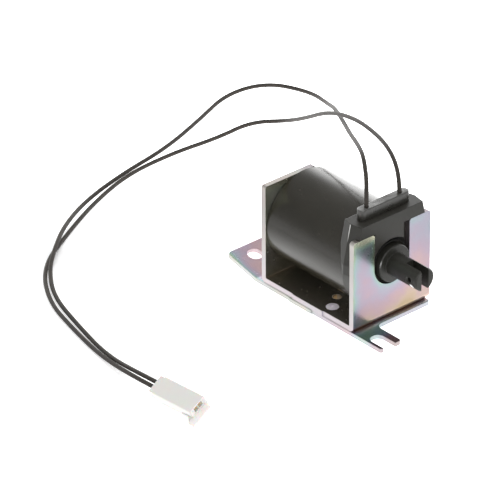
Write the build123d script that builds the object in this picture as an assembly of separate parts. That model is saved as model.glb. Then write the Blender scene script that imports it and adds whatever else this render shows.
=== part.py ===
from build123d import *
from math import acos, atan2, cos, hypot, pi, radians, sin, tan
import os

os.makedirs("parts", exist_ok=True)

# Open-frame pull solenoid for a valve, in millimetres.
# Origin: underside of the mounting plate, below the plunger axis, at half the frame's length.
# +X is the way the plunger pulls out, +Z is up, and -Y is the open side that the leads fall towards.

# Frame: one strip of steel bent into a U
frame_len = 46.2
frame_width = 34.8
sheet_t = 2.0
ear_h = 34.3
rear_wall_over_ears = 3.2
bend_outer_r = 2.0
bend_inner_r = 0.3
ear_corner_r = 1.1
wall_corner_r = 0.9
wall_cut = 12.7
slot_w = 15.8
edge_step = 0.35
edge_step_start = 15.8
edge_step_end = 31.0

# Mounting plate: a flat strip with a forked tongue in front and a raised tab behind
plate_t = 1.5
plate_near_overhang = 0.15
plate_far_inset = 0.9
plate_front_overhang = 1.4
tongue_w = 9.25
tongue_len = 13.9
tongue_inner_r = 2.6
tongue_tip_r = 1.0
fork_slot_w = 5.3
fork_slot_from_edge = 3.85
fork_slot_depth = 8.25
tab_bend_gap = 2.6
tab_bend_r = 3.0
tab_angle = 13.0
tab_len = 14.9
tab_corner_r = 1.6
tab_hole_d = 5.3
tab_hole_edge = 5.4
tab_hole_from_edge = 8.05
plate_step_start = 14.5
plate_step_end = 25.6

# Rivets that join the frame to the plate, and the pilot hole beside one of them
rivet_d = 4.4
rivet_rim_d = 4.6
rivet_from_front = 15.1
rivet_from_side = 4.3
rivet_punch_d = 1.2
rivet_punch_depth = 0.5
pilot_d = 3.1
pilot_from_front = 18.9
pilot_from_side = 9.8

# Plunger
plunger_r = 6.8
plunger_shoulder_out = 1.5
shank_r = 4.15
shank_len = 14.7
clevis_slot_w = 3.2
clevis_slot_depth = 7.5
clevis_hole_d = 1.6
clevis_hole_from_tip = 3.7
clevis_sink = 0.5
tip_chamfer = 0.4
shoulder_chamfer = 0.3
shank_root_r = 0.2
stroke = 12.0

# Fixed core, and the brass washer that rides on the plunger's nose
core_len = 13.5
core_stem_r = 4.0
core_head_r = 5.3
core_head_t = 0.7
nose_r = 2.0
nose_len = 1.6
nose_head_r = 2.5
nose_head_t = 0.6
washer_t = 0.4
washer_outer_r = 5.6
nose_pocket_r = 3.2
nose_pocket_depth = 2.4

# Guide tube and bobbin
running_gap = 0.07
tube_wall = 0.35
seat_gap = 0.05
bobbin_tube_wall = 0.95
collar_wall = 0.5
collar_out = 1.2
tube_recess = 0.5
rear_flange_t = 1.5
front_flange_t = 3.7
flange_side_gap = 0.1
flange_over_base = 1.6
block_over_tape = 1.1
block_depth = 8.45
block_ridge_from_front = 4.7
block_half_top = 13.75
block_ridge_bulge = 0.85
block_foot_h = 2.6
block_foot_drop = 7.0
block_tongue_near_gap = 0.15
block_tongue_far_gap = 2.7
recess_r = 9.1
block_edge_r = 0.5

# Winding and its tape
tape_inset = 0.3
tape_t = 0.4
tape_from_wall = 0.2
winding_slack = 0.05

# Terminal block under the lead bar
pocket_inset = 1.1
pocket_w = 2.4
pocket_depth = 5.0
terminal_w = 1.6
terminal_t = 0.5
terminal_seat = 3.0
terminal_up = 4.5
solder_r = 0.7
solder_h = 1.0
bar_past_lead = 3.6
bar_w = 3.6
bar_h = 4.0
bar_roof = 1.5
bar_edge_r = 0.35
spigot_h = 1.0
spigot_wall = 0.4
lead_hole_gap = 0.12
lead_y = 7.5

# Leads and the two-way plug on their end
lead_d = 1.5
plug_x = 18.45
plug_y = -90.25
plug_yaw = 5.0
plug_roll = 30.0
plug_len = 19.4
plug_w = 7.3
plug_t = 5.3
plug_edge_r = 0.4
plug_neck_len = 2.0
plug_neck_inset = 0.35
cavity_pitch = 2.0
cavity_up = 1.2
cavity_w = 1.8
cavity_h = 1.9
cavity_len = 11.0
wire_gap = 0.08
contact_wall = 0.2
contact_gap = 0.06
contact_box_len = 6.0
contact_recess = 0.9
crimp_wall = 0.1
crimp_len = 3.4
crimp_grip = 1.6
lip_reach = 2.4
lip_wing = 2.6
lip_sweep = 2.3
lip_far_inset = 0.95
lip_t = 0.8
lip_below_middle = 0.3
side_rib_len = 2.6
side_rib_out = 0.35
latch_w = 2.4
latch_t = 0.8
latch_len = 11.0
latch_root = 1.6

# Worked-out places
frame_rear = -frame_len / 2
frame_front = frame_len / 2
wall_inner_rear = frame_rear + sheet_t
wall_inner_front = frame_front - sheet_t
frame_bottom = plate_t
near_edge = -frame_width / 2
far_edge = frame_width / 2
rear_wall_h = ear_h + rear_wall_over_ears
front_flange_r = frame_width / 2 - flange_side_gap
tape_r = front_flange_r - tape_inset
rear_flange_r = tape_r - tape_t - seat_gap
axis_z = frame_bottom + sheet_t + flange_over_base + front_flange_r
rivet_y = far_edge - rivet_from_side
pilot_y = near_edge + pilot_from_side
plate_near_y = near_edge - plate_near_overhang
plate_far_y = far_edge - plate_far_inset
tongue_far_y = plate_near_y + tongue_w
fork_slot_y = plate_near_y + fork_slot_from_edge
tab_hole_y = plate_near_y + tab_hole_from_edge
guide_bore_r = plunger_r + running_gap
guide_outer_r = guide_bore_r + tube_wall
bobbin_bore_r = guide_outer_r + seat_gap
bobbin_tube_r = bobbin_bore_r + bobbin_tube_wall
collar_r = bobbin_bore_r + collar_wall
coil_start = wall_inner_rear + rear_flange_t
coil_end = wall_inner_front - front_flange_t
block_top = axis_z + tape_r + block_over_tape
ear_top = frame_bottom + ear_h
block_rear = frame_front - block_depth
ridge_x = frame_front - block_ridge_from_front
plunger_shoulder = frame_front + plunger_shoulder_out
plunger_tip = plunger_shoulder + shank_len
core_face = wall_inner_rear + core_len
plunger_rear = core_face + washer_t + seat_gap
pocket_floor = block_top - pocket_depth
terminal_top = pocket_floor + terminal_up
lead_start_z = terminal_top + solder_h
bar_top = block_top + bar_h
bar_len = 2 * (lead_y + bar_past_lead)
pocket_len = bar_len - 2 * pocket_inset


def x_axis_plane(x, z=axis_z):
    """Plane across the plunger axis at x, with its own x along +Y and its y along +Z."""
    return Plane(origin=(x, 0, z), x_dir=(0, 1, 0), z_dir=(1, 0, 0))


def rod(x_start, x_end, radius):
    """Solid cylinder about the plunger axis."""
    return extrude(x_axis_plane(x_start) * Circle(radius), x_end - x_start)


def ring(x_start, x_end, inner_r, outer_r):
    """Hollow cylinder about the plunger axis."""
    return rod(x_start, x_end, outer_r) - rod(x_start, x_end, inner_r)


def block(x_range, y_range, z_range):
    """Box between two corners."""
    size = [high - low for low, high in (x_range, y_range, z_range)]
    return Pos(x_range[0], y_range[0], z_range[0]) * Box(*size, align=(Align.MIN,) * 3)


def upright(x, y, z_start, z_end, radius):
    """Solid cylinder that stands along Z."""
    height = z_end - z_start
    return Pos(x, y, z_start) * Cylinder(radius, height, align=(Align.CENTER, Align.CENTER, Align.MIN))


def rivet_places():
    """Rivets at the near front and, across the base, at the far rear."""
    x = frame_front - rivet_from_front
    return [(x, -rivet_y), (-x, rivet_y)]


def edge_bulge(x_start, x_end, y_edge, z_start, z_end):
    """Shallow step on a blanked edge, which stands out towards -Y."""
    return block((x_start, x_end), (y_edge - edge_step, y_edge + edge_step), (z_start, z_end))


def make_coil_frame():
    height = max(rear_wall_h, ear_h)
    outer = block((frame_rear, frame_front), (near_edge, far_edge), (frame_bottom, frame_bottom + height))
    inner = block(
        (wall_inner_rear, wall_inner_front),
        (near_edge, far_edge),
        (frame_bottom + sheet_t, frame_bottom + height),
    )
    low = outer.edges().filter_by(Axis.Y).sort_by(Axis.Z)[:2]
    low_inner = inner.edges().filter_by(Axis.Y).sort_by(Axis.Z)[:2]
    body = fillet(low, bend_outer_r) - fillet(low_inner, bend_inner_r)
    body -= block((0, frame_front), (near_edge, far_edge), (ear_top, frame_bottom + height + 1))
    ear_corners = body.edges().filter_by(Axis.X).group_by(Axis.X)[-1]
    body = fillet([e for e in ear_corners if e.center().Z > ear_top - 0.1], ear_corner_r)

    rear_top = frame_bottom + rear_wall_h
    far_corner = Polyline(
        (0, far_edge + 1, rear_top - wall_cut - 1),
        (0, far_edge + 1, rear_top + 1),
        (0, far_edge - wall_cut - 1, rear_top + 1),
        close=True,
    )
    body -= Pos(frame_rear - 1, 0, 0) * extrude(make_face(far_corner), sheet_t + 2, dir=(1, 0, 0))
    tops = [e for e in body.edges().filter_by(Axis.X) if e.center().Z > rear_top - 0.1]
    body = fillet([min(tops, key=lambda e: e.center().Y)], wall_corner_r)

    slot_r = slot_w / 2
    slot = rod(wall_inner_front - 1, frame_front + 1, slot_r)
    slot += block((wall_inner_front - 1, frame_front + 1), (-slot_r, slot_r), (axis_z, ear_top + 1))
    body -= slot
    slot_corners = [
        e
        for e in body.edges().filter_by(Axis.X)
        if e.center().Z > ear_top - 0.1 and abs(abs(e.center().Y) - slot_r) < 0.1
    ]
    body = fillet(slot_corners, ear_corner_r)

    body -= rod(frame_rear - 1, wall_inner_rear + 1, core_stem_r + seat_gap)
    base_top = frame_bottom + sheet_t
    for x, y in rivet_places():
        body -= upright(x, y, frame_bottom - 1, base_top + 1, rivet_rim_d / 2)
    body -= upright(frame_front - pilot_from_front, pilot_y, frame_bottom - 1, base_top + 1, pilot_d / 2)
    body += edge_bulge(
        frame_rear + edge_step_start, frame_rear + edge_step_end, near_edge, frame_bottom, base_top
    )
    return body


def tab_plane():
    """Top face of the raised tab: its x runs back along the slope, and its y towards -Y."""
    bend_x = frame_rear - tab_bend_gap
    centre_z = plate_t + tab_bend_r
    angle = radians(tab_angle)
    start = (bend_x - tab_bend_r * sin(angle), 0, centre_z - tab_bend_r * cos(angle))
    return Plane(origin=start, x_dir=(-cos(angle), 0, sin(angle)), z_dir=(sin(angle), 0, cos(angle)))


def make_mounting_plate():
    bend_x = frame_rear - tab_bend_gap
    front = frame_front + plate_front_overhang
    tip = frame_front + tongue_len
    width = plate_far_y - plate_near_y
    flat = block((bend_x, front), (plate_near_y, plate_far_y), (0, plate_t))
    tongue = block((front - tongue_inner_r, tip), (plate_near_y, tongue_far_y), (0, plate_t))
    body = flat + tongue
    inner = [
        e
        for e in body.edges().filter_by(Axis.Z)
        if abs(e.center().X - front) < 0.01 and abs(e.center().Y - tongue_far_y) < 0.01
    ]
    body = fillet(inner, tongue_inner_r)

    slot_end = tip - fork_slot_depth + fork_slot_w / 2
    body -= upright(slot_end, fork_slot_y, -1, plate_t + 1, fork_slot_w / 2)
    body -= block(
        (slot_end, tip + 1),
        (fork_slot_y - fork_slot_w / 2, fork_slot_y + fork_slot_w / 2),
        (-1, plate_t + 1),
    )
    tips = [e for e in body.edges().filter_by(Axis.Z) if abs(e.center().X - tip) < 0.01]
    tips = sorted(tips, key=lambda e: e.center().Y)
    body = fillet([tips[0], tips[-1]], tongue_tip_r)
    fronts = [
        e
        for e in body.edges().filter_by(Axis.Z)
        if abs(e.center().X - front) < 0.01 and e.center().Y > 0
    ]
    body = fillet(fronts, tongue_tip_r)

    bend_centre = (bend_x, plate_near_y, plate_t + tab_bend_r)
    profile = Plane(origin=bend_centre, x_dir=(1, 0, 0), z_dir=(0, 1, 0))
    bend = profile * (Circle(tab_bend_r + plate_t) - Circle(tab_bend_r))
    bend = extrude(bend, width)
    reach = 3 * (tab_bend_r + plate_t)
    wedge = Polyline(
        (bend_x, 0, plate_t + tab_bend_r),
        (bend_x, 0, plate_t + tab_bend_r - reach),
        (bend_x - reach * sin(radians(tab_angle)), 0, plate_t + tab_bend_r - reach * cos(radians(tab_angle))),
        close=True,
    )
    wedge = Pos(0, plate_near_y - 1, 0) * extrude(make_face(wedge), width + 2, dir=(0, 1, 0))
    body += bend & wedge

    mid_y = (plate_near_y + plate_far_y) / 2
    tab = Pos(tab_len / 2, -mid_y, -plate_t / 2) * Box(tab_len, width, plate_t)
    ends = [e for e in tab.edges().filter_by(Axis.Z) if e.center().X > tab_len - 0.1]
    tab = fillet(ends, tab_corner_r)
    tab -= Pos(tab_len - tab_hole_edge, -tab_hole_y, -plate_t / 2) * Cylinder(tab_hole_d / 2, 3 * plate_t)
    body += tab_plane() * tab

    for x, y in rivet_places():
        body -= upright(x, y, -1, plate_t + 1, rivet_d / 2 + seat_gap)
    body += edge_bulge(
        frame_rear + plate_step_start, frame_rear + plate_step_end, plate_near_y, 0, plate_t
    )
    return body


def make_frame_rivets():
    """Flush rivets: a shank through the plate, a spread head in the frame, and a punch mark in it."""
    head_top = frame_bottom + sheet_t
    group = []
    for x, y in rivet_places():
        rivet = upright(x, y, 0, frame_bottom, rivet_d / 2)
        rivet += upright(x, y, frame_bottom, head_top, rivet_rim_d / 2 - seat_gap)
        rivet -= upright(x, y, head_top - rivet_punch_depth, head_top + 1, rivet_punch_d / 2)
        group.append(rivet)
    return Compound(children=group)


def make_pole_piece():
    """Fixed core: it stands on the rear wall, and its stem is spread over behind the wall."""
    core = rod(wall_inner_rear, core_face, plunger_r)
    core += rod(frame_rear - core_head_t, wall_inner_rear, core_stem_r)
    head = rod(frame_rear - core_head_t, frame_rear, core_head_r)
    head = chamfer(head.edges().group_by(Axis.X)[0], core_head_t * 0.6)
    core += head
    core -= rod(core_face - nose_pocket_depth, core_face + 1, nose_pocket_r)
    return core


def make_guide_tube():
    return ring(wall_inner_rear, wall_inner_front + collar_out - tube_recess, guide_bore_r, guide_outer_r)


def tangent_foot(half_top, top_z):
    """Point where a line from the block's top corner touches the front flange's circle."""
    rise = top_z - axis_z
    reach = hypot(half_top, rise)
    corner_angle = atan2(rise, half_top)
    foot_angle = corner_angle - acos(front_flange_r / reach)
    return front_flange_r * cos(foot_angle), axis_z + front_flange_r * sin(foot_angle)


def block_profile(x, half_top):
    """Cross-section of the terminal block: its sides run down to the round flange."""
    foot_y, foot_z = tangent_foot(block_half_top, block_top)
    foot_y += half_top - block_half_top
    outline = Polyline(
        (x, -half_top, block_top),
        (x, half_top, block_top),
        (x, foot_y, foot_z),
        (x, foot_y, axis_z),
        (x, -foot_y, axis_z),
        (x, -foot_y, foot_z),
        close=True,
    )
    return make_face(outline)


def make_terminal_block():
    """Block over the winding's front end, with moulding draft both ways from its parting ridge."""
    ridge_half = block_half_top + block_ridge_bulge
    ridge = block_profile(ridge_x, ridge_half)
    rear = loft([block_profile(block_rear, block_half_top), ridge], ruled=True)
    front = loft([ridge, block_profile(frame_front, block_half_top)], ruled=True)
    body = rear + front
    body -= rod(block_rear - 1, coil_end, tape_r + seat_gap)
    foot_z = axis_z + block_foot_h
    undercut = Polyline(
        (block_rear - 1, 0, foot_z + block_foot_drop + 3),
        (coil_end, 0, foot_z),
        (coil_end, 0, axis_z - 1),
        (block_rear - 1, 0, axis_z - 1),
        close=True,
    )
    cutter = Pos(0, -frame_width, 0) * extrude(make_face(undercut), 2 * frame_width, dir=(0, 1, 0))
    body -= cutter

    ear_gap_top = ear_top + seat_gap
    tongue_near = -slot_w / 2 + block_tongue_near_gap
    tongue_far = slot_w / 2 - block_tongue_far_gap
    for beside_tongue in ((-frame_width, tongue_near), (tongue_far, frame_width)):
        body -= block((wall_inner_front, frame_front + 1), beside_tongue, (axis_z - 1, ear_gap_top))
    body -= rod(wall_inner_front, frame_front + 1, recess_r)
    body -= block(
        (wall_inner_front, frame_front + 1), (-frame_width, frame_width), (axis_z - 1, axis_z + recess_r / 2)
    )
    return body


def make_bobbin():
    body = rod(wall_inner_rear, coil_start, rear_flange_r)
    body += rod(wall_inner_rear, wall_inner_front, bobbin_tube_r)
    body += rod(coil_end, wall_inner_front, front_flange_r)
    body += make_terminal_block()
    body += rod(wall_inner_front, wall_inner_front + collar_out, collar_r)
    body -= rod(wall_inner_rear - 1, frame_front + 1, bobbin_bore_r)
    body -= extrude(bar_outline(pocket_floor, pocket_len, pocket_w), pocket_depth + 1)
    for side in (-1, 1):
        body -= terminal_post(side, terminal_seat, 0)
    return body


def make_winding():
    return ring(
        coil_start + winding_slack, coil_end - winding_slack, bobbin_tube_r + seat_gap, tape_r - tape_t
    )


def make_outer_tape():
    """Tape round the winding, wide enough to cover the rear flange's rim too."""
    return ring(wall_inner_rear + tape_from_wall, coil_end - winding_slack, tape_r - tape_t, tape_r)


def terminal_post(side, below, above):
    """Flat terminal that stands in the block at one lead, from below the pocket's floor up."""
    return block(
        (ridge_x - terminal_t / 2, ridge_x + terminal_t / 2),
        (side * lead_y - terminal_w / 2, side * lead_y + terminal_w / 2),
        (pocket_floor - below, pocket_floor + above),
    )


def make_terminal(side):
    return terminal_post(side, terminal_seat, terminal_up)


def make_solder(side):
    """Bead of solder between a terminal's end and its lead."""
    return upright(ridge_x, side * lead_y, terminal_top, lead_start_z, solder_r)


def bar_outline(z, length, width):
    """Rounded slot shape across the block, about the parting ridge."""
    return Pos(ridge_x, 0, z) * Rot(0, 0, 90) * SlotOverall(length, width)


def make_terminal_cover():
    """Hollow bar over the terminal pocket, with a spigot down into it and a hole at each lead."""
    bar = extrude(bar_outline(block_top, bar_len, bar_w), bar_h)
    bar = fillet(bar.edges().group_by(Axis.Z)[-1], bar_edge_r)
    foot_z = block_top - spigot_h
    bar += extrude(bar_outline(foot_z, pocket_len - 2 * seat_gap, pocket_w - 2 * seat_gap), spigot_h)
    wall = 2 * (seat_gap + spigot_wall)
    hollow = bar_outline(foot_z, pocket_len - wall, pocket_w - wall)
    bar -= extrude(hollow, spigot_h + bar_h - bar_roof)
    for side in (-1, 1):
        hole_r = lead_d / 2 + lead_hole_gap
        bar -= upright(ridge_x, side * lead_y, block_top, bar_top + 1, hole_r)
    return bar


def make_plunger():
    body = rod(plunger_rear, plunger_shoulder, plunger_r)
    ends = body.edges().filter_by(GeomType.CIRCLE).sort_by(Axis.X)
    body = chamfer([ends[0], ends[-1]], shoulder_chamfer)
    shank = rod(plunger_shoulder, plunger_tip, shank_r)
    shank = chamfer(shank.edges().filter_by(GeomType.CIRCLE).sort_by(Axis.X)[-1], tip_chamfer)
    body += shank
    roots = [
        e
        for e in body.edges().filter_by(GeomType.CIRCLE)
        if abs(e.center().X - plunger_shoulder) < 0.01 and abs(e.radius - shank_r) < 0.01
    ]
    body = fillet(roots, shank_root_r)
    body -= block(
        (plunger_tip - clevis_slot_depth, plunger_tip + 1),
        (-clevis_slot_w / 2, clevis_slot_w / 2),
        (axis_z - plunger_r, axis_z + plunger_r),
    )
    hole_x = plunger_tip - clevis_hole_from_tip
    across = Plane(origin=(hole_x, -plunger_r, axis_z), x_dir=(1, 0, 0), z_dir=(0, 1, 0))
    body -= extrude(across * Circle(clevis_hole_d / 2), 2 * plunger_r)
    for side in (-1, 1):
        mouth = Plane(origin=(hole_x, side * shank_r, axis_z), x_dir=(1, 0, 0), z_dir=(0, -side, 0))
        sink = mouth * Cone(
            clevis_hole_d / 2 + clevis_sink,
            clevis_hole_d / 2,
            clevis_sink,
            align=(Align.CENTER, Align.CENTER, Align.MIN),
        )
        body -= sink
    nose_end = plunger_rear - nose_len
    body += rod(nose_end, plunger_rear, nose_r)
    body += rod(nose_end - nose_head_t, nose_end, nose_head_r)
    return body


def make_residual_washer():
    """Brass washer between the core and the plunger, held on the plunger's nose."""
    return ring(plunger_rear - washer_t, plunger_rear, nose_r + running_gap, washer_outer_r)


def plug_frame():
    """Plane of the plug's middle: x along the plug, y across it and z through its thickness."""
    yaw = radians(plug_yaw)
    roll = radians(plug_roll)
    rest_h = plug_w / 2 * sin(roll) + plug_t / 2 * cos(roll)
    along = (cos(yaw), sin(yaw), 0)
    normal = (sin(roll) * sin(yaw), -sin(roll) * cos(yaw), cos(roll))
    return Plane(origin=(plug_x, plug_y, rest_h), x_dir=along, z_dir=normal)


def plug_box(x_range, y_range, z_range):
    """Box in the plug's own coordinates."""
    return block(x_range, y_range, z_range)


def make_connector_housing():
    """Two-way plug housing: it lies rolled over, on its near edge and on its latch arm."""
    half_l, half_w, half_t = plug_len / 2, plug_w / 2, plug_t / 2
    neck_end = -half_l + plug_neck_len
    body = plug_box((neck_end, half_l), (-half_w, half_w), (-half_t, half_t))
    neck_w = half_w - plug_neck_inset
    neck_t = half_t - plug_neck_inset
    body += plug_box((-half_l, neck_end), (-neck_w, neck_w), (-neck_t, neck_t))
    long_edges = [e for e in body.edges().filter_by(Axis.X) if e.length > plug_neck_len + 1]
    body = fillet(long_edges, plug_edge_r)

    lip_top = -lip_below_middle
    front = half_l + lip_reach
    plate = Polyline(
        (half_l - lip_sweep, -half_w, lip_top),
        (half_l, -half_w - lip_wing, lip_top),
        (front, -half_w - lip_wing, lip_top),
        (front, half_w - lip_far_inset, lip_top),
        (half_l - lip_sweep, half_w - lip_far_inset, lip_top),
        close=True,
    )
    body += extrude(make_face(plate), lip_t, dir=(0, 0, -1))
    rib_front = half_l - lip_sweep
    body += plug_box(
        (rib_front - side_rib_len, rib_front), (-half_w - side_rib_out, 0), (-half_t + plug_edge_r, lip_top)
    )

    top_wall = cavity_up - cavity_h / 2
    for side in (-1, 1):
        y = side * cavity_pitch / 2
        body -= plug_box(
            (half_l - cavity_len, half_l + 1),
            (y - cavity_w / 2, y + cavity_w / 2),
            (top_wall, top_wall + cavity_h),
        )
        bore_start = Plane(origin=(-half_l - 1, y, cavity_up), z_dir=(1, 0, 0))
        body -= extrude(bore_start * Circle(lead_d / 2 + wire_gap), plug_len - cavity_len + 1.1)

    roll = radians(plug_roll)
    rest_h = half_w * sin(roll) + half_t * cos(roll)
    latch_low = (rest_h - latch_w / 2 * sin(roll)) / cos(roll)
    latch_front = half_l - plug_neck_len
    latch_y = (-latch_w / 2, latch_w / 2)
    body += plug_box((latch_front - latch_root, latch_front), latch_y, (-latch_low, -half_t + plug_edge_r))
    body += plug_box((latch_front - latch_len, latch_front), latch_y, (-latch_low, -latch_low + latch_t))
    return plug_frame() * body


def make_contact(side):
    """Crimp contact in its cavity: a folded box in front and a barrel round the lead behind."""
    front = plug_len / 2 - contact_recess
    rear = front - contact_box_len
    y = side * cavity_pitch / 2
    half_w = cavity_w / 2 - contact_gap
    half_h = cavity_h / 2 - contact_gap
    shell = plug_box((rear, front), (y - half_w, y + half_w), (cavity_up - half_h, cavity_up + half_h))
    inner_w = half_w - contact_wall
    inner_h = half_h - contact_wall
    shell -= plug_box(
        (rear + contact_wall, front + 1),
        (y - inner_w, y + inner_w),
        (cavity_up - inner_h, cavity_up + inner_h),
    )
    barrel_rear = Plane(origin=(rear - crimp_len, y, cavity_up), z_dir=(1, 0, 0))
    shell += extrude(barrel_rear * Circle(lead_d / 2 + crimp_wall), crimp_len)
    shell -= extrude(barrel_rear * Circle(lead_d / 2), crimp_grip)
    return plug_frame() * shell


# Route of each lead: control points from the terminal, over the coil, down to the surface and round
# to the plug. A lead that lies on the surface has its centre at half its thickness.
lie = lead_d / 2
near_lead_points = [
    (ridge_x, -lead_y, lead_start_z),
    (ridge_x, -lead_y, 48.2),
    (18.2, -7.4, 55.7),
    (13.2, -4.3, 60.6),
    (2.6, 3.0, 57.6),
    (-16.5, 16.6, 49.3),
    (-42.3, 36.4, 37.1),
    (-70.3, 58.5, 21.9),
    (-95.5, 78.5, 6.0),
    (-114.0, 86.5, lie),
    (-130.0, 79.5, lie),
    (-133.5, 62.5, lie),
    (-125.0, 42.0, lie),
    (-117.0, 19.5, lie),
    (-113.0, -4.0, lie),
    (-106.8, -26.0, lie),
    (-94.0, -46.2, lie + 3.1),
    (-83.2, -59.6, lie + 3.1),
    (-76.0, -67.6, lie + 0.8),
    (-62.8, -76.2, lie),
    (-43.0, -82.0, lie),
    (-21.5, -87.3, lie),
]
far_lead_points = [
    (ridge_x, lead_y, lead_start_z),
    (ridge_x, lead_y, 47.6),
    (13.8, 10.0, 52.6),
    (5.3, 13.8, 54.3),
    (-9.0, 20.5, 51.6),
    (-26.1, 27.4, 47.2),
    (-51.9, 39.2, 35.0),
    (-81.8, 54.3, 14.6),
    (-101.0, 63.0, 2.6),
    (-111.5, 55.0, lie),
    (-110.5, 38.5, lie),
    (-112.6, 19.5, lie),
    (-111.5, -2.5, lie),
    (-104.3, -23.5, lie),
    (-93.7, -44.6, lie),
    (-81.4, -66.0, lie),
    (-62.3, -79.2, lie),
    (-41.8, -84.9, lie),
    (-21.5, -89.1, lie),
]


def plug_entry(side, distance):
    """Point on a cavity's line, at a distance along the plug from its middle."""
    return tuple(plug_frame().from_local_coords(Vector(distance, side * cavity_pitch / 2, cavity_up)))


def lead_route(side):
    """A lead's points, ended straight into its cavity and into the contact's barrel."""
    points = near_lead_points if side < 0 else far_lead_points
    barrel_rear = plug_len / 2 - contact_recess - contact_box_len - crimp_len
    return points + [
        plug_entry(-side, -plug_len / 2 - 6.0),
        plug_entry(-side, barrel_rear + crimp_grip),
    ]


def bend_radii(points):
    """Largest arc that each corner of a route has room for."""
    radii = []
    for before, at, after in zip(points, points[1:], points[2:]):
        run_in = Vector(*at) - Vector(*before)
        run_out = Vector(*after) - Vector(*at)
        turn = radians(run_in.get_angle(run_out))
        radii.append(0.45 * min(run_in.length, run_out.length) / tan(turn / 2))
    return radii


def make_lead(side):
    points = lead_route(side)
    radii = bend_radii(points)
    path = FilletPolyline(*points, radius=radii)
    start = Plane(origin=path @ 0, z_dir=path % 0)
    tube = sweep(start * Circle(lead_d / 2), path=path)
    ideal = pi * (lead_d / 2) ** 2 * path.length
    label = "near" if side < 0 else "far"
    print(f"lead_{label}: length {path.length:.1f}, volume ratio {tube.volume / ideal:.4f}")
    print("  radii", [round(r, 1) for r in radii])
    print("  runs", [round((Vector(*b) - Vector(*a)).length, 1) for a, b in zip(points, points[1:])])
    return tube


parts = {
    "coil_frame": make_coil_frame(),
    "mounting_plate": make_mounting_plate(),
    "frame_rivets": make_frame_rivets(),
    "pole_piece": make_pole_piece(),
    "guide_tube": make_guide_tube(),
    "bobbin": make_bobbin(),
    "winding": make_winding(),
    "outer_tape": make_outer_tape(),
    "terminal_cover": make_terminal_cover(),
    "plunger": make_plunger(),
    "residual_washer": make_residual_washer(),
    "connector_housing": make_connector_housing(),
}
for label, side in (("near", -1), ("far", 1)):
    parts[f"terminal_{label}"] = make_terminal(side)
    parts[f"solder_{label}"] = make_solder(side)
    parts[f"lead_{label}"] = make_lead(side)
    parts[f"contact_{label}"] = make_contact(-side)

for name, solid in parts.items():
    export_step(solid, f"parts/{name}.step")
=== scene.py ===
from math import cos, radians, sin

import bpy
from mathutils import Matrix, Vector


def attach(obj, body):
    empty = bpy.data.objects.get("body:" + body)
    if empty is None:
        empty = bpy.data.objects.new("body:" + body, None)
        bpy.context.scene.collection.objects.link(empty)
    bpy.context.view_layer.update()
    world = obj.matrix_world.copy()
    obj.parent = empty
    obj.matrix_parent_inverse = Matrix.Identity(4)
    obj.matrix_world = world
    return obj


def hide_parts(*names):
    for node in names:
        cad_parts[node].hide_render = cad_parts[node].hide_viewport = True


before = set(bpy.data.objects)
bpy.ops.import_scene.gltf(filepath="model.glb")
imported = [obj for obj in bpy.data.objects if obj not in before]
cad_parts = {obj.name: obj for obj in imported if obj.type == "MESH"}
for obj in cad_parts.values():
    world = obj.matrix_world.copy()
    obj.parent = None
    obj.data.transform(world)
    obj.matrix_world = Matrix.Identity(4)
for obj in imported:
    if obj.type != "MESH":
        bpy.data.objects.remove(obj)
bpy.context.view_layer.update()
MM = 0.001


# Camera, at the photograph's angle, with its lengths in millimetres
view_azimuth = radians(49.07)
view_elevation = radians(30.14)
view_roll = radians(-0.42)
view_target = (-45.84, -7.42, 0.0)
view_distance = 1707.8
view_lens = 371.6
view_sensor = 36
view_clip = 20000

# Level direction from the camera into the picture
into_picture = (-sin(view_azimuth), cos(view_azimuth), 0)


def add_object(name, data):
    """A new object with this data, linked to the scene."""
    made = bpy.data.objects.new(name, data)
    bpy.context.scene.collection.objects.link(made)
    return made


def make_camera():
    back = Vector(
        (
            sin(view_azimuth) * cos(view_elevation),
            -cos(view_azimuth) * cos(view_elevation),
            sin(view_elevation),
        )
    )
    right = Vector((cos(view_azimuth), sin(view_azimuth), 0))
    up = back.cross(right)
    side = cos(view_roll) * right + sin(view_roll) * up
    top = cos(view_roll) * up - sin(view_roll) * right
    data = bpy.data.cameras.new("camera")
    data.sensor_fit = "HORIZONTAL"
    data.sensor_width = view_sensor
    data.lens = view_lens
    data.clip_end = view_clip * MM
    camera = add_object("camera", data)
    turn = Matrix((side, top, back)).transposed().to_4x4()
    place = Vector(view_target) * MM + back * view_distance * MM
    camera.matrix_world = Matrix.Translation(place) @ turn
    bpy.context.scene.camera = camera


make_camera()


# Leads, with the same points as the model's own routes, in millimetres
lead_d = 1.5
lie = lead_d / 2
ridge_x = 18.4
lead_y = 7.5
lead_start_z = 41.0
near_lead_points = [
    (ridge_x, -lead_y, lead_start_z),
    (ridge_x, -lead_y, 48.2),
    (18.2, -7.4, 55.7),
    (13.2, -4.3, 60.6),
    (2.6, 3.0, 57.6),
    (-16.5, 16.6, 49.3),
    (-42.3, 36.4, 37.1),
    (-70.3, 58.5, 21.9),
    (-95.5, 78.5, 6.0),
    (-114.0, 86.5, lie),
    (-130.0, 79.5, lie),
    (-133.5, 62.5, lie),
    (-125.0, 42.0, lie),
    (-117.0, 19.5, lie),
    (-113.0, -4.0, lie),
    (-106.8, -26.0, lie),
    (-94.0, -46.2, lie + 3.1),
    (-83.2, -59.6, lie + 3.1),
    (-76.0, -67.6, lie + 0.8),
    (-62.8, -76.2, lie),
    (-43.0, -82.0, lie),
    (-21.5, -87.3, lie),
]
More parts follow.
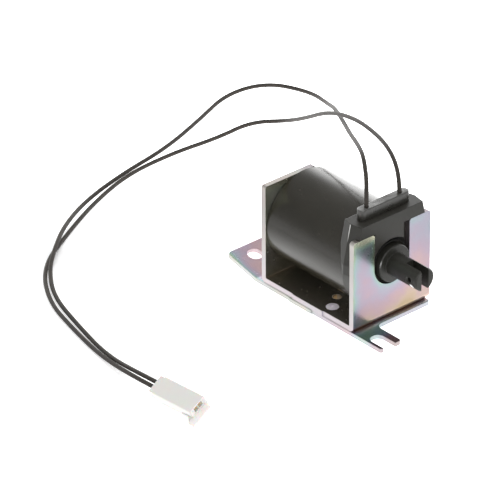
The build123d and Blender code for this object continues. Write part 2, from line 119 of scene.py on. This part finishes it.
far_lead_points = [
    (ridge_x, lead_y, lead_start_z),
    (ridge_x, lead_y, 47.6),
    (13.8, 10.0, 52.6),
    (5.3, 13.8, 54.3),
    (-9.0, 20.5, 51.6),
    (-26.1, 27.4, 47.2),
    (-51.9, 39.2, 35.0),
    (-81.8, 54.3, 14.6),
    (-101.0, 63.0, 2.6),
    (-111.5, 55.0, lie),
    (-110.5, 38.5, lie),
    (-112.6, 19.5, lie),
    (-111.5, -2.5, lie),
    (-104.3, -23.5, lie),
    (-93.7, -44.6, lie),
    (-81.4, -66.0, lie),
    (-62.3, -79.2, lie),
    (-41.8, -84.9, lie),
    (-21.5, -89.1, lie),
]

# The plug that they end in: its place and lie, its size and where its cavities are
plug_middle = (18.45, -90.25)
plug_yaw = radians(5.0)
plug_roll = radians(30.0)
plug_len = 19.4
plug_w = 7.3
plug_t = 5.3
cavity_pitch = 2.0
cavity_up = 1.2

# Where a lead ends past the plug's middle, and how far before the plug it runs straight
lead_end = 1.0
run_in = 6.0

# Fineness of a lead's mesh, round it and along it
lead_rounding = 5
lead_steps = 16


def plug_entry(side, distance):
    """Point on the line of the cavity on side 1 or -1, at a distance from the plug's middle."""
    along = Vector((cos(plug_yaw), sin(plug_yaw), 0))
    normal = Vector(
        (sin(plug_roll) * sin(plug_yaw), -sin(plug_roll) * cos(plug_yaw), cos(plug_roll))
    )
    across = normal.cross(along)
    rest_h = plug_w / 2 * sin(plug_roll) + plug_t / 2 * cos(plug_roll)
    middle = Vector((*plug_middle, rest_h))
    return middle + along * distance + across * side * cavity_pitch / 2 + normal * cavity_up


def make_lead(name, points, cavity):
    """A smooth curve on a lead's control points and on into its cavity.
    """
    points = points + [
        plug_entry(cavity, -plug_len / 2 - run_in),
        plug_entry(cavity, lead_end),
    ]
    curve = bpy.data.curves.new(name, "CURVE")
    curve.dimensions = "3D"
    curve.bevel_depth = 1.0
    curve.bevel_resolution = lead_rounding
    curve.resolution_u = lead_steps
    curve.use_fill_caps = True
    spline = curve.splines.new("NURBS")
    spline.points.add(len(points) - 1)
    for spot, point in zip(spline.points, points):
        spot.co = (*(Vector(point) * MM), 1)
        spot.radius = lead_d / 2 * MM
    spline.order_u = 3
    spline.use_endpoint_u = True
    lead = add_object(name, curve)
    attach(lead, "fixed")
    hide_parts(name)
    return lead


near_lead = make_lead(
    "lead_near",
    near_lead_points,
    1,
)
far_lead = make_lead("lead_far", far_lead_points, -1)


# Materials


class Field:
    """An output among a material's nodes. Arithmetic and comparison with it add Math nodes."""

    def __init__(self, look, socket):
        self.look = look
        self.socket = socket

    def __add__(self, other):
        return self.look.math("ADD", self, other)

    def __sub__(self, other):
        return self.look.math("SUBTRACT", self, other)

    def __rsub__(self, other):
        return self.look.math("SUBTRACT", other, self)

    def __mul__(self, other):
        return self.look.math("MULTIPLY", self, other)

    def __abs__(self):
        return self.look.math("ABSOLUTE", self)

    def __gt__(self, other):
        return self.look.math("GREATER_THAN", self, other)

    def __lt__(self, other):
        return self.look.math("LESS_THAN", self, other)


class Look:
    """A material with a Principled shader, and short calls for the nodes that feed it.

    The colour, roughness and metallic value that it starts with stay under whatever is linked.
    """

    def __init__(self, name, colour, roughness, metallic=0.0):
        self.material = bpy.data.materials.new(name)
        self.material.use_nodes = True
        tree = self.material.node_tree
        self.nodes = tree.nodes
        self.links = tree.links
        self.shader = self.nodes["Principled BSDF"]
        self.set("Base Color", colour)
        self.set("Roughness", roughness)
        self.set("Metallic", metallic)
        self.place = Field(self, self.nodes.new("ShaderNodeTexCoord").outputs["Object"])

    def feed(self, socket, value):
        """Link a field to a socket, or set the socket to a number or a colour."""
        if isinstance(value, Field):
            self.links.new(value.socket, socket)
        elif isinstance(value, tuple):
            socket.default_value = (*value, 1)
        else:
            socket.default_value = value

    def set(self, name, value):
        """Feed one of the shader's sockets."""
        self.feed(self.shader.inputs[name], value)

    def split(self, vector):
        node = self.nodes.new("ShaderNodeSeparateXYZ")
        self.feed(node.inputs["Vector"], vector)
        return [Field(self, node.outputs[axis]) for axis in "XYZ"]

    def axes(self):
        """Object coordinates in millimetres, one field for each axis."""
        scaled = self.nodes.new("ShaderNodeVectorMath")
        scaled.operation = "SCALE"
        scaled.inputs["Scale"].default_value = 1 / MM
        self.feed(scaled.inputs[0], self.place)
        return self.split(Field(self, scaled.outputs["Vector"]))

    def facing(self):
        """Components of the surface's own normal."""
        return self.split(Field(self, self.nodes.new("ShaderNodeTexCoord").outputs["Normal"]))

    def stretched(self, *scale):
        """Object coordinates scaled along each axis, for grain that runs one way."""
        mapping = self.nodes.new("ShaderNodeMapping")
        mapping.inputs["Scale"].default_value = scale
        self.feed(mapping.inputs["Vector"], self.place)
        return Field(self, mapping.outputs["Vector"])

    def math(self, operation, *values):
        node = self.nodes.new("ShaderNodeMath")
        node.operation = operation
        for socket, value in zip(node.inputs, values):
            self.feed(socket, value)
        return Field(self, node.outputs["Value"])

    def least(self, first, *others):
        for other in others:
            first = self.math("MINIMUM", first, other)
        return first

    def most(self, first, *others):
        for other in others:
            first = self.math("MAXIMUM", first, other)
        return first

    def length(self, first, *others):
        """Length of a vector, from its components."""
        total = first * first
        for other in others:
            total = total + other * other
        return self.math("SQRT", total)

    def noise(self, scale, detail=3.0, rough=0.5, warp=0.0, vector=None):
        """Noise with scale features to a metre."""
        texture = self.nodes.new("ShaderNodeTexNoise")
        texture.inputs["Scale"].default_value = scale
        texture.inputs["Detail"].default_value = detail
        texture.inputs["Roughness"].default_value = rough
        texture.inputs["Distortion"].default_value = warp
        self.feed(texture.inputs["Vector"], vector or self.place)
        return Field(self, texture.outputs["Fac"])

    def ramp(self, factor, stops):
        """Colour ramp from (position, colour) stops."""
        node = self.nodes.new("ShaderNodeValToRGB")
        fill_ramp(node, stops)
        self.feed(node.inputs["Fac"], factor)
        return Field(self, node.outputs["Color"])

    def blend(self, factor, dark, light, start=0.3, end=0.7):
        """Colour that goes from dark to light while the factor goes from start to end."""
        return self.ramp(factor, [(start, dark), (end, light)])

    def range(self, factor, low, high, start=0.0, end=1.0):
        """Number that goes from low to high while the factor goes from start to end."""
        node = self.nodes.new("ShaderNodeMapRange")
        node.inputs["From Min"].default_value = start
        node.inputs["From Max"].default_value = end
        node.inputs["To Min"].default_value = low
        node.inputs["To Max"].default_value = high
        self.feed(node.inputs["Value"], factor)
        return Field(self, node.outputs["Result"])

    def mix(self, factor, first, second, blend="MIX"):
        """Colour that goes from the first to the second with the factor."""
        node = self.nodes.new("ShaderNodeMix")
        node.data_type = "RGBA"
        node.blend_type = blend
        first_colour, second_colour = (i for i in node.inputs if i.type == "RGBA")
        self.feed(node.inputs["Factor"], factor)
        self.feed(first_colour, first)
        self.feed(second_colour, second)
        return Field(self, next(o for o in node.outputs if o.type == "RGBA"))

    def soft_edges(self, radius_mm):
        """Catch light along sharp edges, as a small radius would."""
        node = self.nodes.new("ShaderNodeBevel")
        node.samples = edge_samples
        node.inputs["Radius"].default_value = radius_mm * MM
        self.links.new(node.outputs["Normal"], self.shader.inputs["Normal"])

    def bump(self, height, strength, depth_mm):
        """Relief in the surface, on top of any that it has."""
        node = self.nodes.new("ShaderNodeBump")
        node.inputs["Strength"].default_value = strength
        node.inputs["Distance"].default_value = depth_mm * MM
        self.feed(node.inputs["Height"], height)
        normal = self.shader.inputs["Normal"]
        if normal.is_linked:
            self.links.new(normal.links[0].from_socket, node.inputs["Normal"])
        self.links.new(node.outputs["Normal"], normal)


def fill_ramp(node, stops):
    """Give a colour ramp its (position, colour) stops."""
    elements = node.color_ramp.elements
    while len(elements) < len(stops):
        elements.new(0.5)
    for element, (position, colour) in zip(elements, stops):
        element.position = position
        element.color = (*colour, 1)


# Tints of the passivated zinc, in the order in which they follow as its clear coat thickens
coat_tints = [
    (0.00, (0.52, 0.40, 0.25)),
    (0.10, (0.56, 0.43, 0.34)),
    (0.25, (0.52, 0.37, 0.39)),
    (0.40, (0.45, 0.36, 0.44)),
    (0.53, (0.40, 0.40, 0.48)),
    (0.66, (0.35, 0.46, 0.47)),
    (0.80, (0.36, 0.50, 0.38)),
    (0.95, (0.50, 0.50, 0.37)),
]

# Fade of the tint's change inward from an edge, for each millimetre
edge_fade = 0.42

# Radius that the plated sheet's edges seem to have, and how many rays look for such an edge
sheet_edge_r = 0.15
edge_samples = 6

# Other colours of the plated sheet, where bend_teal multiplies its tint
cut_edge = (0.43, 0.39, 0.40)
frame_top_edge = (0.31, 0.265, 0.275)
plate_cut_edge = (0.38, 0.335, 0.345)
dull_zinc = (0.40, 0.385, 0.30)
rim_zinc = (0.60, 0.57, 0.47)
corner_brown = (0.70, 0.50, 0.36)
bend_teal = (0.86, 1.30, 1.34)
# Painted light in the pilot hole: the plate's colour there, and the colour of its glow
pilot_painted_light = (1.0, 0.96, 0.70)
pilot_painted_glow = (1.0, 0.90, 0.62)

# Places and sizes on the part that the looks need, in millimetres
axis_z = 22.4
frame_half_width = 17.4
ear_top = 34.3
rear_wall_rise = 3.2
rear_corner = 20.9
slot_half = 7.9
base_top = 3.5
wall_front = 23.1
tongue_bend = wall_front + 4.0
pilot_at = (4.2, -7.6)
shoulder_x = 24.45
shoulder_r = 6.65
glint_spot = (36.6, -3.5, 20.2)
tube_mouth = 19.0
recess_floor = 21.1
recess_r = 9.1
ridge_from = 13.9
ridge_to = 40.3

# A distance past any on the part, for a wall without a slot
nowhere = 100.0

# Where the frame's looks change: heights, then places across it
low_band = (2.0, 14.0)
high_band = (14.0, 34.0)
level_band = (8.0, 33.0)
ear_band = (14.0, 28.0)
fold_band = (base_top - 1.0, base_top + 0.5)
wall_tops_from = 20.0
base_below = base_top + 1.0
corner_below = base_top + 0.8
near_ear_band = (-8.0, -4.0)
middle_band = (-6.0, 6.0)

# Distances over which a look fades: from the walls' tops, the pilot hole's middle and the corner
top_fade = (0.3, 2.5)
rim_fade = (1.65, 1.75)
pilot_fade = (1.7, 1.9)
corner_fade = (0.06, 0.22)

# The same on the plate: along it, and from the tongue's bend
lift_band = (0.0, 20.0)
tongue_band = (wall_front + 1.0, wall_front + 9.0)
bend_fade = (1.5, 7.0)
teal_fade = (2.0, 6.0)

# The same on the block, the recess and the plunger
ridge_fade = (0.08, 0.2)
ridge_band = (34.0, 37.5)
recess_band = (recess_floor - 0.3, wall_front - 0.2)
recess_fade = (recess_r - 0.1, recess_r + 0.1)
mouth_band = (tube_mouth - 6.0, tube_mouth)
shoulder_fade = (0.1, 0.25)
near_side_band = (-5.0, -2.5)
glint_fade = (0.6, 1.1)

# How squarely a face looks along an axis to count as a cut edge, or as one of the broad faces
edge_on = 0.7
broad_on = 0.5

# The same for the plastic bar's flat top, with its painted sheen, and for the plug's top, with its
# painted shade, which fade in
flat_top_fade = (0.75, 0.9)
top_shade_fade = (0.3, 0.8)


def coat(look, base, distance, lift, cut, level, bare_and_painted_light, overlay_colour, cut_colour):
    """Colour and finish of plated sheet.

    The tint starts at base, moves on by lift at an edge and less with the distance from it, and
    level multiplies it. bare_and_painted_light lays overlay_colour over it: the frame's inner faces,
    and painted light in the pilot hole on the plate. cut marks sheared faces, duller and mottled.
    """
    clouds = look.noise(55, detail=2, rough=0.45, warp=0.6)
    blotches = look.noise(190, detail=2, warp=0.4)
    shear_lines = look.noise(1100, detail=2, vector=look.stretched(0.12, 1, 0.12))
    specks = look.noise(700, detail=2)
    phase = base + look.math("EXPONENT", distance * -edge_fade) * lift
    phase = phase + look.range(clouds, -0.16, 0.16, start=0.25, end=0.75)
    phase = phase + look.range(blotches, -0.06, 0.06, start=0.3, end=0.7)
    tint = look.mix(1.0, look.ramp(phase, coat_tints), level, "MULTIPLY")
    tint = look.mix(bare_and_painted_light, tint, overlay_colour)
    sheared = look.mix(look.range(shear_lines, 0.0, 0.35), cut_colour, tint)
    speckled = look.mix(look.range(specks, 0.0, 0.08), tint, cut_edge)
    look.set("Base Color", look.mix(cut, speckled, sheared))
    look.set("Roughness", look.range(specks, 0.23, 0.29) + cut * 0.12)
    look.soft_edges(sheet_edge_r)


def frame_steel():
    """Plated frame: blue and green by the edges, lilac inside them, and rose to straw low down."""
    look = Look("frame_steel", (0.4, 0.4, 0.4), 0.26, 0.9)
    x, y, z = look.axes()
    normal_x, normal_y, normal_z = look.facing()
    at_rear = x < 0.0

    # Distance from the nearest edge of the sheet, the slot's among them
    side = frame_half_width - abs(y)
    top = at_rear * rear_wall_rise + ear_top - z
    below_axis = look.least(z - axis_z, 0.0)
    slot = look.length(y, below_axis) - slot_half + at_rear * nowhere
    distance = look.most(look.least(side, top, slot), 0.0)

    # Sheared faces
    cut_side = abs(normal_y) > edge_on
    cut_top = (normal_z > edge_on) * (z > wall_tops_from)
    cut_colour = look.mix(cut_top, cut_edge, frame_top_edge)

    # Tint and brightness of the outer faces
    near_ear = look.range(y, 0.09, 0.0, *near_ear_band) * look.range(z, 0.0, 1.0, *ear_band)
    base = look.range(z, 0.02, 0.36, *low_band) + look.range(z, 0.0, 0.10, *high_band) + near_ear
    lift = look.range(y, 0.42, 0.14, *middle_band)
    upper_edge = look.range(top, 0.5, 0.0, *top_fade) * (y < 0.0)
    fold = look.range(z, 0.35, 0.0, *fold_band)
    level = look.range(z, 0.60, 0.98, *level_band) - near_ear + upper_edge + fold

    # Inner faces are duller, with a light rim round the pilot hole and a brown line in the corner
    inner_rear = (normal_x > broad_on) * at_rear
    on_base = (normal_z > broad_on) * (z < base_below)
    from_pilot = look.length(x - pilot_at[0], y - pilot_at[1])
    rim = look.range(from_pilot, 1.0, 0.0, *rim_fade) * on_base
    corner = look.range(abs(x + rear_corner), 0.8, 0.0, *corner_fade) * (z < corner_below)
    inside = look.mix(corner, look.mix(rim, dull_zinc, rim_zinc), corner_brown)
    inner = look.most(look.most(inner_rear, on_base) * 0.75, look.most(rim, corner))

    look.set("Metallic", look.range(rim, 0.9, 0.2))
    cut = look.most(cut_side, cut_top)
    coat(look, base, distance, lift, cut, level, inner, inside, cut_colour)
    return look.material


def plate_steel():
    """Plated base strip: teal by the bend and along its edges, lilac and rose inside them."""
    look = Look("plate_steel", (0.4, 0.4, 0.4), 0.26, 1.0)
    x, y, _ = look.axes()
    distance = look.most(frame_half_width - abs(y), 0.0)
    from_bend = abs(x - tongue_bend)
    in_front = x > 0.0
    base = look.most(look.range(from_bend, 0.60, 0.14, *bend_fade), look.range(in_front, 0.28, 0.0))
    lift = look.range(x, 0.55, 0.15, *lift_band)
    level = look.range(x, 1.12, 0.63, *tongue_band) + look.range(in_front, 0.08, 0.0)
    teal = look.range(from_bend, 1.0, 0.0, *teal_fade) * in_front
    level = look.mix(teal, level, bend_teal)
    cut = (abs(look.facing()[2]) < broad_on) * 0.9

    # Painted light where the plate shows through the frame's pilot hole, where no light reaches it: a
    # light colour, not metallic, and a glow
    from_pilot = look.length(x - pilot_at[0], y - pilot_at[1])
    under_pilot = look.range(from_pilot, 1.0, 0.0, *pilot_fade)
    look.set("Metallic", look.range(under_pilot, 1.0, 0.0))
    look.set("Emission Color", pilot_painted_glow)
    look.set("Emission Strength", look.range(under_pilot, 0.0, 0.28))
    coat(look, base, distance, lift, cut, level, under_pilot, pilot_painted_light, plate_cut_edge)
    return look.material


def rivet_steel():
    """Matt, spun-over rivet heads."""
    look = Look("rivet_steel", (0.92, 0.86, 0.93), 0.6)
    wear = look.noise(700)
    dark, light = (0.86, 0.77, 0.88), (1.0, 0.97, 1.0)
    look.set("Base Color", look.blend(wear, dark, light, start=0.35, end=0.65))
    look.set("Roughness", look.range(wear, 0.5, 0.65))
    look.bump(wear, strength=0.15, depth_mm=0.03)
    return look.material


def core_steel():
    """Bare turned steel, with fine rings round its axis."""
    look = Look("core_steel", (0.45, 0.45, 0.46), 0.4, 1.0)
    turned = look.noise(1500, detail=2, vector=look.stretched(1, 0.05, 0.05))
    look.set("Base Color", look.blend(turned, (0.22, 0.22, 0.22), (0.32, 0.32, 0.32)))
    look.set("Roughness", look.range(turned, 0.35, 0.5))
    return look.material


def brass(name, metallic, dull, bright):
    """Brass, in patches from dull to bright."""
    look = Look(name, bright, 0.3, metallic)
    patches = look.noise(400)
    look.set("Base Color", look.blend(patches, dull, bright))
    look.set("Roughness", look.range(patches, 0.28, 0.42))
    return look.material


def tube_brass():
    """Guide tube: brass inside, darker towards its mouth."""
    look = Look("tube_brass", (0.62, 0.45, 0.18), 0.4, 0.9)
    x, _, _ = look.axes()
    depth = x + look.range(look.noise(500), -1.0, 1.0)
    bare_and_painted_light = look.blend(look.noise(400), (0.50, 0.35, 0.13), (0.66, 0.48, 0.21))
    mouth_dark = (0.022, 0.020, 0.014)
    look.set("Base Color", look.mix(look.range(depth, 0.0, 1.0, *mouth_band), bare_and_painted_light, mouth_dark))
    look.set("Roughness", look.range(depth, 0.35, 0.6, *mouth_band))
    return look.material


def black_plastic(name, smooth, index, waves, edge, sheen_strength):
    """Satin moulded plastic with a fine grain, with a painted highlight along the block's parting
    ridge.

    smooth is its roughness, index its refraction, waves the strength of its ripples, edge the radius
    that its edges seem to have, and sheen_strength how strongly the painted sheen, light streaks on
    flat tops, shows.
    """
    look = Look(name, (0.018, 0.017, 0.013), smooth)
    x, y, z = look.axes()
    broad = look.noise(110, rough=0.6)
    colour = look.blend(broad, (0.012, 0.0115, 0.0085), (0.019, 0.018, 0.0135))

    # Painted highlight: a light line along the parting ridge, on the block's sides
    on_side = (abs(y) > ridge_from) * look.range(z, 0.0, 1.0, *ridge_band)
    ridge_highlight = look.range(abs(x - ridge_x), 1.0, 0.0, *ridge_fade) * (on_side * (z < ridge_to))
    colour = look.mix(ridge_highlight, colour, (0.70, 0.70, 0.68))

    # Painted sheen: lighter streaks on flat tops, standing in for reflections on them
    streaks = look.noise(260, rough=0.6, warp=0.4, vector=look.stretched(1, 0.35, 1))
    painted_sheen = look.range(streaks, 0.0, sheen_strength, start=0.38, end=0.56)
    flat_top = look.range(look.facing()[2], 0.0, 1.0, *flat_top_fade)
    colour = look.mix(flat_top * painted_sheen, colour, (0.14, 0.14, 0.135))

    # Painted shade: the recess round the collar is darkened to near black and made rough
    in_recess = (x > recess_band[0]) * (x < recess_band[1])
    recess = look.range(look.length(y, z - axis_z), 1.0, 0.0, *recess_fade) * in_recess
    look.set("Base Color", look.mix(recess, colour, (0.004, 0.004, 0.003)))

    finish = look.range(broad, smooth - 0.07, smooth + 0.05, start=0.3, end=0.7)
    look.set("Roughness", look.most(finish, recess * 0.95))
    look.set("IOR", index)
    look.soft_edges(edge)
    look.bump(look.noise(1400), strength=0.2, depth_mm=0.02)
    look.bump(look.noise(260, detail=2), strength=waves, depth_mm=0.25)
    return look.material


def black_tape():
    """Film tape pulled tight over the winding, with faint rings from the turns below."""
    look = Look("black_tape", (0.020, 0.017, 0.010), 0.22)
    rings = look.noise(700, detail=2, rough=0.4, vector=look.stretched(1, 0.02, 0.02))
    ripples = look.noise(90, warp=0.6, vector=look.stretched(0.6, 1, 1))
    specks = look.noise(420, detail=2, rough=0.7)
    warm = look.blend(ripples, (0.012, 0.0105, 0.006), (0.018, 0.0155, 0.0095))
    # Light specks of dust
    dust_and_shade = look.range(specks, 0.0, 0.5, start=0.66, end=0.78)
    look.set("Base Color", look.mix(dust_and_shade, warm, (0.06, 0.055, 0.045)))
    look.set("Roughness", look.range(ripples, 0.20, 0.27, start=0.3, end=0.7))
    look.set("IOR", 1.5)
    look.bump(rings, strength=0.06, depth_mm=0.02)
    look.bump(ripples, strength=0.10, depth_mm=0.08)
    return look.material


def copper_wire():
    """Enamelled turns, side by side along the axis."""
    look = Look("copper_wire", (0.60, 0.25, 0.11), 0.35, 1.0)
    turns = look.noise(2500, detail=1, vector=look.stretched(1, 0.02, 0.02))
    dark, light = (0.40, 0.15, 0.07), (0.72, 0.32, 0.15)
    look.set("Base Color", look.blend(turns, dark, light, start=0.35, end=0.65))
    return look.material


def plunger_steel():
    """Turned steel with a black oxide coat, wear and a highlight on the shoulder, a painted glint by
    the tip.
    """
    look = Look("plunger_steel", (0.018, 0.0175, 0.015), 0.42)
    x, y, z = look.axes()
    turned = look.noise(1800, rough=0.6, vector=look.stretched(1, 0.04, 0.04))
    patches = look.noise(260)
    oxide = look.blend(patches, (0.011, 0.011, 0.008), (0.020, 0.0195, 0.016))
    scored = look.mix(look.range(turned, 0.0, 0.3), oxide, (0.035, 0.035, 0.03))

    # The shoulder's rim is worn to bare steel, laid on the near side only, where it gives a highlight:
    # wear and painted highlight
    from_axis = look.length(y, z - axis_z)
    from_rim = look.most(abs(x - shoulder_x), abs(from_axis - shoulder_r))
    patchy = look.range(patches, 0.0, 1.0, start=0.45, end=0.6)
    wear_and_highlight = look.range(from_rim, 0.5, 0.0, *shoulder_fade) * patchy
    wear_and_highlight = wear_and_highlight * look.range(y, 1.0, 0.0, *near_side_band)

    # Painted glint: a white spot on the tip's lower edge, below the clevis hole
    from_glint = look.length(x - glint_spot[0], y - glint_spot[1], z - glint_spot[2])
    painted_glint = look.range(from_glint, 1.0, 0.0, *glint_fade)
    skin = look.mix(wear_and_highlight, scored, (0.6, 0.6, 0.6))
    look.set("Base Color", look.mix(painted_glint, skin, (1.0, 1.0, 1.0)))
    look.set("Metallic", wear_and_highlight)
    look.set("Roughness", look.range(turned, 0.36, 0.5))
    look.set("Specular IOR Level", 0.35)
    look.bump(turned, strength=0.12, depth_mm=0.02)
    return look.material


def solder():
    """Grey, slightly grainy solder."""
    look = Look("solder", (0.5, 0.5, 0.52), 0.45, 1.0)
    grain = look.noise(1500)
    look.set("Roughness", look.range(grain, 0.35, 0.55))
    look.bump(grain, strength=0.3, depth_mm=0.03)
    return look.material


def black_lead():
    """Soft insulation, dark brown-black with a satin sheen."""
    look = Look("black_lead", (0.040, 0.034, 0.029), 0.45)
    scuffs = look.noise(500)
    dark, light = (0.026, 0.022, 0.018), (0.044, 0.037, 0.031)
    look.set("Base Color", look.blend(scuffs, dark, light, start=0.35))
    look.set("Roughness", look.range(scuffs, 0.55, 0.70))
    look.set("Specular IOR Level", 0.28)
    return look.material


def white_nylon():
    """Milky moulded nylon, with painted shade, a darker colour, on the upward faces of the plug's body.
    """
    milk_depth = 1.0
    look = Look("white_nylon", (0.85, 0.84, 0.81), 0.42)
    cloud = look.noise(200, detail=2)
    milk = look.blend(cloud, (0.79, 0.785, 0.765), (0.85, 0.845, 0.825))
    on_body = look.axes()[0] < plug_middle[0] + plug_len / 2
    # Painted shade: the upward faces of the plug's body are darker
    dust_and_shade = look.range(look.facing()[2], 0.2, 1.0, *top_shade_fade) * on_body
    look.set("Base Color", look.mix(dust_and_shade, milk, (0.67, 0.665, 0.635)))
    look.set("Subsurface Weight", 0.4)
    look.set("Subsurface Scale", milk_depth * MM)
    look.soft_edges(radius_mm=0.3)
    look.bump(look.noise(900, detail=2), strength=0.1, depth_mm=0.03)
    return look.material


def dress(material, *names):
    """Give CAD nodes or pieces one material."""
    for name in names:
        data = bpy.data.objects[name].data
        data.materials.clear()
        data.materials.append(material)


dress(frame_steel(), "coil_frame")
dress(plate_steel(), "mounting_plate")
dress(rivet_steel(), "frame_rivets")
dress(core_steel(), "pole_piece")
dress(tube_brass(), "guide_tube")
bright_brass = brass("brass", metallic=1.0, dull=(0.66, 0.46, 0.17), bright=(0.84, 0.64, 0.30))
dress(bright_brass, "residual_washer", "terminal_near", "terminal_far")
pale_brass = brass("contact_brass", metallic=0.25, dull=(0.90, 0.70, 0.38), bright=(1.0, 0.82, 0.50))
dress(pale_brass, "contact_near", "contact_far")
bobbin_plastic = black_plastic(
    "black_plastic", smooth=0.45, index=1.46, waves=0.1, edge=0.3, sheen_strength=0.0
)
dress(bobbin_plastic, "bobbin")
cover_plastic = black_plastic(
    "cover_plastic", smooth=0.30, index=1.85, waves=0.25, edge=0.25, sheen_strength=1.0
)
dress(cover_plastic, "terminal_cover")
dress(black_tape(), "outer_tape")
dress(copper_wire(), "winding")
dress(plunger_steel(), "plunger")
dress(solder(), "solder_near", "solder_far")
lead_look = black_lead()
near_lead.data.materials.append(lead_look)
far_lead.data.materials.append(lead_look)
dress(white_nylon(), "connector_housing")


# Floor and light

# The floor reaches this far each way from the middle, and lies this far below the part, in metres
floor_reach = 3.0
floor_drop = 0.0002

# It glows most in a pool round the part: its half sizes and fade in millimetres, and its glow
pool_half = (24.0, 18.0)
pool_fade = (10.0, 50.0)
pool_glow = (1.2, 0.08)

# It glows a little round the plug and the leads' last stretch as well
lead_run = -75.0
plug_glow = (0.5, 0.0)
plug_fade = (14.0, 34.0)

# Behind the part it brightens into the backdrop
sweep_rise = (30.0, 90.0)
sweep_glow = (0.08, 1.8)

# Brightness of the sky from the horizon up, as shares of its strength, and where the backdrop fades
sky_strength = 3.5
room_sky = [(0.0, 0.19), (0.2, 0.16), (0.55, 0.14), (0.8, 0.16), (1.0, 0.24)]
backdrop_sky = [
    (0.0, 1.0),
    (0.27, 1.0),
    (0.38, 0.75),
    (0.48, 0.36),
    (0.58, 0.18),
    (0.8, 0.14),
    (1.0, 0.24),
]
backdrop_edge = (0.25, 0.6)

# Area lights: place and size in metres, and power in watts
overhead_light = ((-0.1, 0.15, 1.0), 0.5, 4.0)
fill_light = ((0.95, -0.5, 0.5), 0.7, 4.0)


def make_floor():
    """White table that glows, so that only the deepest contact shadows show on it."""
    mesh = bpy.data.meshes.new("floor")
    signs = [(-1, -1), (1, -1), (1, 1), (-1, 1)]
    mesh.from_pydata([(a * floor_reach, b * floor_reach, 0) for a, b in signs], [], [(0, 1, 2, 3)])
    floor = add_object("floor", mesh)
    floor.location.z = -floor_drop
    paper = Look("floor", (0.9, 0.9, 0.9), 0.9)
    x, y, _ = paper.axes()
    out_x = paper.most(abs(x) - pool_half[0], 0.0)
    out_y = paper.most(abs(y) - pool_half[1], 0.0)
    pool = paper.range(paper.length(out_x, out_y), *pool_glow, *pool_fade)
    behind = y * into_picture[1] + x * into_picture[0]
    sweep = paper.range(behind, *sweep_glow, *sweep_rise)
    past_run = x - paper.least(paper.most(x, lead_run), plug_middle[0])
    from_run = paper.length(past_run, y - plug_middle[1])
    by_plug = paper.range(from_run, *plug_glow, *plug_fade)
    paper.set("Specular IOR Level", 0.0)
    paper.set("Emission Color", (1, 1, 1))
    paper.set("Emission Strength", paper.most(pool, sweep, by_plug))
    mesh.materials.append(paper.material)


def make_world():
    """Studio: a white backdrop behind the object, and a dimmer room on its other sides."""
    world = bpy.data.worlds.new("studio")
    bpy.context.scene.world = world
    world.use_nodes = True
    make, links = world.node_tree.nodes.new, world.node_tree.links
    place = make("ShaderNodeTexCoord").outputs["Generated"]
    split = make("ShaderNodeSeparateXYZ")
    links.new(place, split.inputs["Vector"])
    toward = make("ShaderNodeVectorMath")
    toward.operation = "DOT_PRODUCT"
    toward.inputs[1].default_value = into_picture
    links.new(place, toward.inputs[0])
    behind = make("ShaderNodeMapRange")
    behind.interpolation_type = "SMOOTHSTEP"
    behind.inputs["From Min"].default_value = backdrop_edge[0]
    behind.inputs["From Max"].default_value = backdrop_edge[1]
    links.new(toward.outputs["Value"], behind.inputs["Value"])
    skies = make("ShaderNodeMix")
    skies.data_type = "RGBA"
    links.new(behind.outputs["Result"], skies.inputs["Factor"])
    colours = [i for i in skies.inputs if i.type == "RGBA"]
    for stops, colour in zip((room_sky, backdrop_sky), colours):
        ramp = make("ShaderNodeValToRGB")
        fill_ramp(ramp, [(height, (light, light, light)) for height, light in stops])
        links.new(split.outputs["Z"], ramp.inputs["Fac"])
        links.new(ramp.outputs["Color"], colour)
    background = world.node_tree.nodes["Background"]
    mixed = next(o for o in skies.outputs if o.type == "RGBA")
    links.new(mixed, background.inputs["Color"])
    background.inputs["Strength"].default_value = sky_strength


def make_area_light(name, place, size, power):
    """Square light that shines at the part's origin."""
    data = bpy.data.lights.new(name, "AREA")
    data.shape = "RECTANGLE"
    data.size = size
    data.size_y = size
    data.energy = power
    light = add_object(name, data)
    light.location = place
    light.rotation_euler = Vector(place).to_track_quat("Z", "Y").to_euler()


make_floor()
make_world()
make_area_light("overhead", *overhead_light)
make_area_light("fill", *fill_light)
bpy.context.scene.view_settings.view_transform = "Standard"
